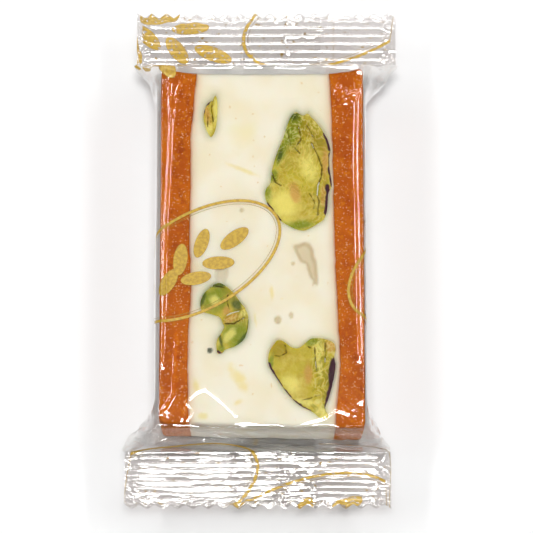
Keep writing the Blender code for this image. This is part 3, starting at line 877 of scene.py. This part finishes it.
def web_places(x, z, rows, upward):
    """Where each point of a sheet lay on the flat web: across from the face's middle, and along."""
    middle = x.shape[0] // 2
    body = len(rows) // 2
    steps = np.hypot(np.diff(x[:, body]), np.diff(z[:, body]))
    across = np.concatenate([[0], np.cumsum(steps)])
    across = across - across[middle]
    if upward < 0:
        round_left = across[0] * 2
        round_right = across[-1] * 2
        across = np.where(x[:, body] < FLAP_RIGHT, round_left - across, round_right - across)
    slope_top = math.hypot(FILM_TOP - MIDDLE, SEAL_TOP - TOP_END) - (SEAL_TOP - TOP_END)
    slope_low = math.hypot(FILM_TOP - MIDDLE, SEAL_BOTTOM - BOTTOM_END) - (BOTTOM_END - SEAL_BOTTOM)
    stops = [PACK_LOW[1], SEAL_BOTTOM, BOTTOM_END, TOP_END, SEAL_TOP, PACK_HIGH[1]]
    longer = np.interp(rows, stops, [-slope_low, -slope_low, 0, 0, slope_top, slope_top])
    return across[:, None] + 0 * x, (rows + longer)[None, :] + 0 * x


def set_web(piece, across, along):
    """Stores the flat web's places, as shares of a 100 mm square, as the piece's texture places."""
    loops = np.empty(len(piece.data.loops), int)
    piece.data.loops.foreach_get("vertex_index", loops)
    web = (np.stack([across, along], axis=1)[loops] + WEB_SHIFT) / WEB_UNIT
    piece.data.uv_layers.active.data.foreach_set("uv", web.ravel())


def make_flap(material):
    """The back seam's flap: it lies flat under the slab and runs on into both seals."""
    rows = film_rows()
    piece, column, row = new_grid("back_flap", 48, len(rows) - 1)
    share = column / column.max()
    y = rows[row]
    at = Stretch(y)
    x = FLAP_LEFT + (FLAP_RIGHT - FLAP_LEFT) * share + 0.12 * noise(share * 3, y, 5.0, 161)
    level = 0.05 + 0.02 * np.sin(x * math.tau / 1.2)
    z = level + (MIDDLE - level) * at.flat
    z = z + seal_relief(x, y, at) * at.sealed
    tooth_y, lift = cut_zigzag(x, y, at)
    place_points(piece, x + SEAL_SHIFT * at.ear * np.sign(y), tooth_y, z + lift)
    keep_numbers(piece, "sealed", 0.25 * at.sealed)
    keep_numbers(piece, "loose", 0 * y)
    finish_piece(piece, material, "clear_film", "wrapper")


# ---------------------------------------------------------------- materials


def linear(hex_colour):
    """An sRGB hex colour as linear red, green, blue and a full alpha."""
    channels = [int(hex_colour[i : i + 2], 16) / 255 for i in (1, 3, 5)]
    return tuple(c / 12.92 if c <= 0.04045 else ((c + 0.055) / 1.055) ** 2.4 for c in channels) + (1.0,)


def add(tree, kind, settings=None, **inputs):
    """Adds a node with its settings. An input is a value for its socket or a socket to link from."""
    node = tree.nodes.new(kind)
    for key, value in (settings or {}).items():
        setattr(node, key, value)
    for key, value in inputs.items():
        counted = key[0] == "i" and key[1:].isdigit()
        socket = node.inputs[int(key[1:]) if counted else key.replace("_", " ")]
        if isinstance(value, bpy.types.NodeSocket):
            tree.links.new(value, socket)
        else:
            socket.default_value = value
    return node


def new_material(name):
    made = bpy.data.materials.new(name)
    made.use_nodes = True
    tree = made.node_tree
    tree.nodes.clear()
    output = add(tree, "ShaderNodeOutputMaterial")
    return made, tree, output


def number(tree, name):
    return add(tree, "ShaderNodeAttribute", {"attribute_name": name}).outputs["Fac"]


def texture(tree, place, per_metre, detail=3.0, roughness=0.55):
    return add(
        tree, "ShaderNodeTexNoise", Vector=place, Scale=per_metre, Detail=detail, Roughness=roughness
    ).outputs["Fac"]


def range_of(tree, value, low, high, out_low=0.0, out_high=1.0):
    return add(
        tree,
        "ShaderNodeMapRange",
        {"interpolation_type": "SMOOTHSTEP"},
        i0=value,
        i1=low,
        i2=high,
        i3=out_low,
        i4=out_high,
    ).outputs[0]


def tint(tree, share, under, over):
    """A colour with another laid over it by a share."""
    return add(tree, "ShaderNodeMix", {"data_type": "RGBA"}, i0=share, i6=under, i7=over).outputs[2]


def math_node(tree, operation, first, second=0.0):
    return add(tree, "ShaderNodeMath", {"operation": operation}, i0=first, i1=second).outputs[0]


def bump(tree, height, distance, strength=1.0):
    made = add(tree, "ShaderNodeBump", Height=height, Distance=distance, Strength=strength)
    return made.outputs["Normal"]


def object_place(tree):
    return add(tree, "ShaderNodeTexCoord").outputs["Object"]


def nougat_material():
    """Whipped honey nougat, cut with a knife: dense, waxy and cream white, faintly stained by oil."""
    made, tree, output = new_material("whipped_nougat")
    place = object_place(tree)
    cloud = range_of(tree, texture(tree, place, 160), 0.35, 0.7)
    colour = tint(tree, cloud, linear("#fbf6e8"), linear("#f8f0da"))
    stain = range_of(tree, texture(tree, place, 95, 2.0), 0.6, 0.76)
    colour = tint(tree, math_node(tree, "MULTIPLY", stain, 0.4), colour, linear("#f3e7a8"))
    oil = math_node(tree, "MULTIPLY", number(tree, "oil"), 0.45)
    colour = tint(tree, oil, colour, linear("#f0dc60"))
    colour = tint(tree, number(tree, "chip"), colour, linear("#5e6450"))
    fleck = range_of(tree, texture(tree, place, 1500, 1.0), 0.73, 0.78)
    colour = tint(tree, math_node(tree, "MULTIPLY", fleck, 0.5), colour, linear("#e6c88a"))
    bleed = math_node(tree, "MULTIPLY", number(tree, "bleed"), 0.6)
    colour = tint(tree, bleed, colour, linear("#ecd0b0"))
    # Painted shade round the kernels: the nougat greyed towards green.
    shade = math_node(tree, "MULTIPLY", number(tree, "kernel_shade"), 0.55)
    colour = tint(tree, shade, colour, linear("#cfd0b6"))
    # Painted shade: the pockets' floors and the knife dent a darker beige.
    colour = tint(tree, number(tree, "pocket"), colour, linear("#e6d9bb"))
    shader = add(
        tree, "ShaderNodeBsdfPrincipled", Base_Color=colour, Roughness=0.5, Specular_IOR_Level=0.25,
        Normal=bump(tree, texture(tree, place, 900), 0.00004, 0.5),
        Subsurface_Weight=0.15, Subsurface_Scale=0.002,
    )
    tree.links.new(shader.outputs[0], output.inputs[0])
    return made


def paste_material():
    """Pressed apricot paste: moist, fibrous and slightly see-through, with fine bright specks painted
    in as glints of its sugary surface.
    """
    made, tree, output = new_material("pressed_apricot_paste")
    place = object_place(tree)
    cloud = range_of(tree, texture(tree, place, 230), 0.32, 0.68)
    colour = tint(tree, cloud, linear("#c66402"), linear("#d87a04"))
    fibre = range_of(tree, texture(tree, place, 1500, 3.0), 0.52, 0.7)
    colour = tint(tree, math_node(tree, "MULTIPLY", fibre, 0.5), colour, linear("#ee9c0a"))
    dark = range_of(tree, texture(tree, place, 700, 3.0), 0.56, 0.72)
    colour = tint(tree, math_node(tree, "MULTIPLY", dark, 0.6), colour, linear("#a84602"))
    # Painted highlight: fine bright specks standing for glints on the wet, sugary surface.
    painted_glint = range_of(tree, texture(tree, place, 3600, 1.0), 0.63, 0.69)
    colour = tint(tree, math_node(tree, "MULTIPLY", painted_glint, 0.75), colour, linear("#f6cc98"))
    shader = add(
        tree, "ShaderNodeBsdfPrincipled", Base_Color=colour, Roughness=0.5, Specular_IOR_Level=0.06,
        Normal=bump(tree, texture(tree, place, 1500), 0.0001, 0.6),
        Subsurface_Weight=0.12, Subsurface_Scale=0.002,
    )
    tree.links.new(shader.outputs[0], output.inputs[0])
    return made


def kernel_material():
    """Pistachio flesh, cut and torn: waxy yellow-green, greener near its skin, with painted highlight
    on its crests and painted shade in its hollows and cracks.
    """
    made, tree, output = new_material("pistachio_flesh")
    place = object_place(tree)
    grain = texture(tree, place, 900, 4.0)
    colour = tint(tree, range_of(tree, grain, 0.35, 0.65), linear("#ceb83c"), linear("#e2d265"))
    drift = range_of(tree, texture(tree, place, 260, 2.0), 0.4, 0.62)
    colour = tint(tree, math_node(tree, "MULTIPLY", drift, 0.6), colour, linear("#d4c62c"))
    for name, hex_colour, share in (
        ("olive", "#b9a20a", 0.85),
        ("green", "#8fa012", 0.85),
        ("pale", "#faf08c", 0.85),
        ("blush", "#dcab58", 0.8),
        ("deep", "#4c6210", 0.9),
    ):
        patch = math_node(tree, "MULTIPLY", number(tree, name), share)
        colour = tint(tree, patch, colour, linear(hex_colour))
    # Painted shade in the hollows, painted highlight on the crests, painted shade in the cracks.
    hollow = math_node(tree, "MULTIPLY", number(tree, "hollow"), 0.5)
    colour = tint(tree, hollow, colour, linear("#8f8c08"))
    crest_highlight = math_node(tree, "MULTIPLY", number(tree, "crest_highlight"), 0.6)
    colour = tint(tree, crest_highlight, colour, linear("#f8f0a6"))
    crack_shade = math_node(tree, "MULTIPLY", number(tree, "crack_shade"), 0.85)
    colour = tint(tree, crack_shade, colour, linear("#6e5a08"))
    colour = tint(tree, number(tree, "skin"), colour, linear("#4b1f33"))
    shader = add(
        tree, "ShaderNodeBsdfPrincipled", Base_Color=colour, Roughness=0.5, Specular_IOR_Level=0.2,
        Normal=bump(tree, grain, 0.0002, 0.8),
        Subsurface_Weight=0.1, Subsurface_Scale=0.001,
    )
    tree.links.new(shader.outputs[0], output.inputs[0])
    return made


# The print, on the flat web in millimetres from the face's middle: its ovals, how they are turned,
# and the leaves of the sprigs, as (x, y, turn) of the sprig and of each leaf in it with its half sizes.
OVALS = [
    (-9.0, -0.95),
    (23.9, -0.95),
    (4.3, -44.0),
    (-11.6, -38.7),
    (8.9, 42.9),
    (-42.0, -1.0),
    (30.5, -35.5),
]
OVAL_HALF = (12.8, 6.86)
OVAL_TURN = 30.7
LINE_HALF = 0.22
SPRIGS = [(-9.0, -0.95, 30.7), (4.8, -43.4, 30.7), (-11.3, 39.6, -34.0), (-17.6, 33.2, -60.0)]
LEAVES = [
    (-5.4, -0.5, 2.2, 1.0, 28),
    (-2.2, 1.5, 2.3, 1.0, 52),
    (-1.7, -2.0, 2.2, 0.95, -20),
    (1.6, 2.0, 2.2, 0.95, 40),
    (2.2, -1.7, 2.3, 0.95, -28),
    (6.0, 0.2, 2.4, 1.05, 6),
]


def from_oval(tree, place, x, y, half_wide, half_high, turn):
    """How far in millimetres each place is from an oval's line, counted below zero inside it."""
    moved = add(
        tree,
        "ShaderNodeMapping",
        {"vector_type": "TEXTURE"},
        Vector=place,
        Location=(x, y, 0),
        Rotation=(0, 0, math.radians(turn)),
        Scale=(half_wide, half_high, 1),
    ).outputs[0]
    reach = add(tree, "ShaderNodeVectorMath", {"operation": "LENGTH"}, i0=moved).outputs["Value"]
    steep = (1 / half_wide, 1 / half_high, 0)
    slope = add(tree, "ShaderNodeVectorMath", {"operation": "MULTIPLY"}, i0=moved, i1=steep).outputs[0]
    slope = add(tree, "ShaderNodeVectorMath", {"operation": "LENGTH"}, i0=slope).outputs["Value"]
    past = math_node(tree, "SUBTRACT", reach, 1.0)
    return math_node(tree, "DIVIDE", math_node(tree, "MULTIPLY", past, reach), slope)


def printed(tree):
    """Where the film is printed: a thin double oval at each place, and sprigs of leaves."""
    web = add(tree, "ShaderNodeUVMap", {"uv_map": "UVMap"}).outputs[0]
    to_mm = {"Location": (-WEB_SHIFT, -WEB_SHIFT, 0), "Scale": (WEB_UNIT, WEB_UNIT, 1)}
    place = add(tree, "ShaderNodeMapping", i0=web, **to_mm).outputs[0]
    ink = 0.0
    for x, y in OVALS:
        off = from_oval(tree, place, x, y, *OVAL_HALF, OVAL_TURN)
        line = range_of(tree, math_node(tree, "ABSOLUTE", off), LINE_HALF * 1.15, LINE_HALF * 0.75)
        inner = math_node(tree, "ABSOLUTE", math_node(tree, "ADD", off, 0.5))
        thin = math_node(tree, "MULTIPLY", range_of(tree, inner, 0.08, 0.03), 0.5)
        ink = math_node(tree, "MAXIMUM", math_node(tree, "MAXIMUM", line, thin), ink)
    for x, y, turn in SPRIGS:
        c, s = math.cos(math.radians(turn)), math.sin(math.radians(turn))
        for leaf_x, leaf_y, long, across, leaf_turn in LEAVES:
            leaf = (x + leaf_x * c - leaf_y * s, y + leaf_x * s + leaf_y * c)
            off = from_oval(tree, place, *leaf, long, across, turn + leaf_turn)
            ink = math_node(tree, "MAXIMUM", range_of(tree, off, 0.05, -0.05), ink)
    worn = texture(tree, place, 2.2, 3.0)
    gaps = math_node(tree, "MULTIPLY", range_of(tree, worn, 0.44, 0.36), number(tree, "sealed"))
    flecks = range_of(tree, texture(tree, place, 1.5, 2.0), 0.67, 0.7)
    flecks = math_node(tree, "MULTIPLY", flecks, number(tree, "sealed"))
    ink = math_node(tree, "MULTIPLY", ink, math_node(tree, "SUBTRACT", 1.0, gaps))
    return math_node(tree, "MAXIMUM", ink, flecks), worn


def film_material(name="clear_polypropylene_film", with_print=True):
    """Clear cast film, tight and glossy: all but invisible where flat, grey where it stands steep."""
    made, tree, output = new_material(name)
    sealed, loose = number(tree, "sealed"), number(tree, "loose")
    haze = tint(tree, loose, linear("#fefefd"), linear("#fdfdfc"))
    haze = tint(tree, sealed, haze, linear("#f3f1f0"))
    facing = add(tree, "ShaderNodeLayerWeight", Blend=0.5).outputs["Facing"]
    haze = tint(tree, range_of(tree, facing, 0.2, 0.95, 0.0, 0.15), haze, linear("#c4c2c0"))
    clear = add(tree, "ShaderNodeBsdfTransparent", Color=haze)
    gloss = add(tree, "ShaderNodeBsdfGlossy", Color=(1, 1, 1, 1), Roughness=0.07)
    share = math_node(tree, "MULTIPLY", add(tree, "ShaderNodeFresnel", IOR=1.5).outputs[0], 1.8)
    surface = add(tree, "ShaderNodeMixShader", i0=share, i1=clear.outputs[0], i2=gloss.outputs[0])
    if with_print:
        ink, worn = printed(tree)
        colour = tint(tree, range_of(tree, worn, 0.35, 0.65), linear("#a98408"), linear("#c4a01c"))
        gold = add(tree, "ShaderNodeBsdfPrincipled", Base_Color=colour, Roughness=0.4, Metallic=0.1)
        ink = math_node(tree, "MULTIPLY", ink, 0.9)
        surface = add(tree, "ShaderNodeMixShader", i0=ink, i1=surface.outputs[0], i2=gold.outputs[0])
    tree.links.new(surface.outputs[0], output.inputs[0])
    return made


def floor_material():
    made, tree, output = new_material("matt_white_paper")
    shade = add(
        tree, "ShaderNodeBsdfPrincipled", Base_Color=linear("#f4f4f4"), Roughness=0.9,
    )
    tree.links.new(shade.outputs[0], output.inputs[0])
    return made


# ---------------------------------------------------------------- the studio

CAMERA_ELEVATION = 78
CAMERA_DISTANCE = 430
LENS = 203.3


def make_camera():
    data = bpy.data.cameras.new("camera")
    data.lens = LENS
    data.clip_start = 0.01
    camera = bpy.data.objects.new("camera", data)
    bpy.context.scene.collection.objects.link(camera)
    tilt = math.radians(CAMERA_ELEVATION)
    target = ORIGIN + np.array([0.64, -1.79, FACE])
    place = target + CAMERA_DISTANCE * np.array([0, -math.cos(tilt), math.sin(tilt)])
    camera.location = Vector(place * MM)
    camera.rotation_euler = (math.pi / 2 - tilt, 0, 0)
    bpy.context.scene.camera = camera


def softbox(name, azimuth, elevation, wide, high, power):
    """A rectangular lamp 0.9 m away that faces the bar. Azimuth 0 is towards +Y, 90 towards +X."""
    data = bpy.data.lights.new(name, "AREA")
    data.shape = "RECTANGLE"
    data.size = wide
    data.size_y = high
    data.energy = power
    lamp = bpy.data.objects.new(name, data)
    bpy.context.scene.collection.objects.link(lamp)
    turn, rise = math.radians(azimuth), math.radians(elevation)
    away = Vector((math.sin(turn) * math.cos(rise), math.cos(turn) * math.cos(rise), math.sin(rise)))
    lamp.location = away * 0.9
    lamp.rotation_euler = away.to_track_quat("Z", "Y").to_euler()


def make_studio():
    deselect()
    bpy.ops.mesh.primitive_plane_add(size=3)
    floor = name_piece("floor")
    floor.data.materials.append(floor_material())
    softbox("overhead", 180, 88, 0.22, 0.18, 4.1)
    softbox("left_strip", -75, 50, 0.6, 0.08, 1.9)
    softbox("right_strip", 75, 50, 0.6, 0.08, 1.9)
    softbox("far_strip", 0, 42, 0.9, 0.1, 1.9)
    softbox("near_strip", 180, 40, 0.9, 0.07, 0.9)
    world = bpy.data.worlds.new("pale_room")
    world.use_nodes = True
    world.node_tree.nodes["Background"].inputs["Color"].default_value = (1, 1, 1, 1)
    world.node_tree.nodes["Background"].inputs["Strength"].default_value = 0.1
    bpy.context.scene.world = world
    bpy.context.scene.view_settings.view_transform = "Standard"


make_camera()
make_studio()
make_slab()
flesh = kernel_material()
for place, node in enumerate(KERNELS):
    make_kernel(node, flesh, 200 + 20 * place)
make_end_kernel(flesh)
film = film_material()
make_sheet("film_front", 1, 88, 14, film)
make_sheet("film_back", -1, 34, 8, film)
make_flap(film_material("clear_film_back_seam", with_print=False))
